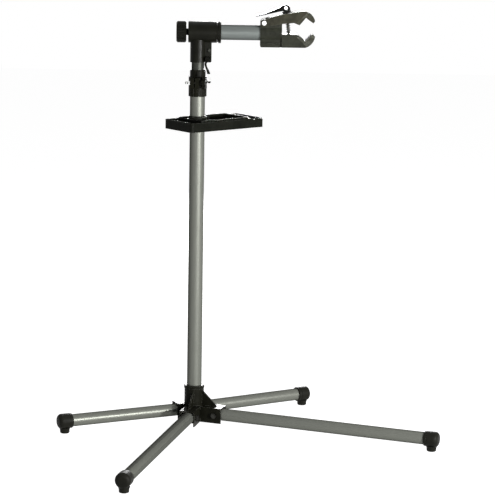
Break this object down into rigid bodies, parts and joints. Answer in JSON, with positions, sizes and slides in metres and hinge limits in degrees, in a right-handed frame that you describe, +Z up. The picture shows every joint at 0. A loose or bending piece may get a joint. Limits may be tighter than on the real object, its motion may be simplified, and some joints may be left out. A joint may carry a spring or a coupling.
{
  "type": "bicycle repair stand",
  "caption": "Folding bicycle repair stand: telescoping mast on splayed folding legs, round-cornered tool tray, and a turning head with a quick-release jaw clamp on a short arm.",
  "frame": {"origin": "on the floor, on the axis of the mast", "axes": "+Z up along the mast, +X along the clamp arm, from the mast to the jaws"},
  "size_m": [0.9734, 0.8687, 1.0981],
  "materials": {
    "tube": "satin",
    "hub": "moulded",
    "rubber": "matte",
    "steel": "bright",
    "head": "moulded",
    "knob": "moulded",
    "jaw": "textured",
    "lever": "black with a polished end",
    "tray": "moulded"
  },
  "bodies": {
    "base": {"base_hub": "hub", "leg_hinge_bolts": "steel", "leg_hinge_nuts": "steel", "mast_screw": "steel", "lower_tube": "tube", "height_collar": "head", "collar_bush": "head", "collar_bolt": "steel", "collar_nut": "steel"},
    "front_left_leg": {"front_left_leg_tube": "tube", "front_left_leg_plug": "hub", "front_left_leg_cap": "rubber"},
    "front_right_leg": {"front_right_leg_tube": "tube", "front_right_leg_plug": "hub", "front_right_leg_cap": "rubber"},
    "rear_left_leg": {"rear_left_leg_tube": "tube", "rear_left_leg_plug": "hub", "rear_left_leg_cap": "rubber"},
    "rear_right_leg": {"rear_right_leg_tube": "tube", "rear_right_leg_plug": "hub", "rear_right_leg_cap": "rubber"},
    "column": {"upper_tube": "tube", "upper_tube_foot": "head"},
    "head": {"head_tee": "head", "pinch_bolt": "steel", "pinch_nut": "steel", "release_rod": "steel", "release_nut": "steel", "release_pin": "steel"},
    "release_lever": {"release_lever": "lever"},
    "swivel_knob": {"swivel_knob": "knob", "swivel_stud": "steel"},
    "arm": {"arm_tube": "tube", "arm_plug": "head", "arm_collar": "head", "clamp_body": "jaw", "clamp_screws": "steel", "jaw_pivot_bolt": "steel", "jaw_pivot_nut": "steel", "clamp_rod": "steel", "rod_nut": "steel", "spring_washer": "steel", "jaw_spring": "steel", "lower_pad_rear": "rubber", "lower_pad_front": "rubber"},
    "upper_jaw": {"upper_jaw": "jaw", "upper_pad_rear": "rubber", "upper_pad_front": "rubber"},
    "cam_block": {"cam_saddle": "knob", "barrel_nut": "steel"},
    "cam_lever": {"cam_lever": "lever"},
    "collar_knob": {"collar_knob": "knob"},
    "tray_slider": {"tray_bush": "knob"},
    "tray": {"tool_tray": "tray", "tray_screw": "knob"}
  },
  "joints": [
    {"name": "column_slide", "type": "slide", "parent": "base", "child": "column", "axis": [0, 0, 1], "range_m": [0, 0.65]},
    {"name": "head_swivel", "type": "hinge", "parent": "column", "child": "head", "pos_m": [0, 0, 0.948], "axis": [0, 0, 1], "range_deg": [0, 220]},
    {"name": "release_lever_turn", "type": "hinge", "parent": "head", "child": "release_lever", "pos_m": [0.025, -0.0163, 0.957], "axis": [-1, 0, 0], "range_deg": [0, 120]},
    {"name": "swivel_knob_turn", "type": "hinge", "parent": "head", "child": "swivel_knob", "pos_m": [0, 0, 1.0245], "axis": [1, 0, 0], "continuous": true},
    {"name": "arm_turn", "type": "hinge", "parent": "head", "child": "arm", "pos_m": [0, 0, 1.0245], "axis": [1, 0, 0], "continuous": true},
    {"name": "jaw_adjust", "type": "slide", "parent": "arm", "child": "cam_block", "axis": [-0.1305, 0, 0.9914], "range_m": [-0.01, 0.003], "deforming": ["jaw_spring"]},
    {"name": "upper_jaw_turn", "type": "hinge", "parent": "arm", "child": "upper_jaw", "pos_m": [0.1669, 0, 1.051], "axis": [0, -1, 0], "range_deg": [-10.3, 3.1]},
    {"name": "cam_lever_turn", "type": "hinge", "parent": "cam_block", "child": "cam_lever", "pos_m": [0.22157, 0, 1.08913], "axis": [0, 1, 0], "range_deg": [0, 150]},
    {"name": "collar_knob_turn", "type": "hinge", "parent": "base", "child": "collar_knob", "pos_m": [-0.00613, -0.02885, 0.897], "axis": [0.9781, -0.2079, 0], "continuous": true},
    {"name": "tray_height", "type": "slide", "parent": "base", "child": "tray_slider", "axis": [0, 0, 1], "range_m": [-0.55, 0.045]},
    {"name": "tray_turn", "type": "hinge", "parent": "tray_slider", "child": "tray", "pos_m": [0, 0, 0.799], "axis": [0, 0, 1], "continuous": true},
    {"name": "front_left_leg_fold", "type": "hinge", "parent": "base", "child": "front_left_leg", "pos_m": [0.06006, -0.02889, 0.031], "axis": [0.3795, 0.9252, 0], "range_deg": [0, 80]},
    {"name": "front_right_leg_fold", "type": "hinge", "parent": "base", "child": "front_right_leg", "pos_m": [-0.01262, -0.06544, 0.031], "axis": [0.969, -0.247, 0], "range_deg": [0, 80]},
    {"name": "rear_left_leg_fold", "type": "hinge", "parent": "base", "child": "rear_left_leg", "pos_m": [0.00619, 0.03661, 0.031], "axis": [-0.4863, 0.8738, 0], "range_deg": [0, 80]},
    {"name": "rear_right_leg_fold", "type": "hinge", "parent": "base", "child": "rear_right_leg", "pos_m": [-0.03308, 0.01685, 0.031], "axis": [0.4115, -0.9114, 0], "range_deg": [0, 80]}
  ],
  "couplings": [
    {"joint": "upper_jaw_turn", "follows": "jaw_adjust", "rad_per_m": 17.6}
  ]
}
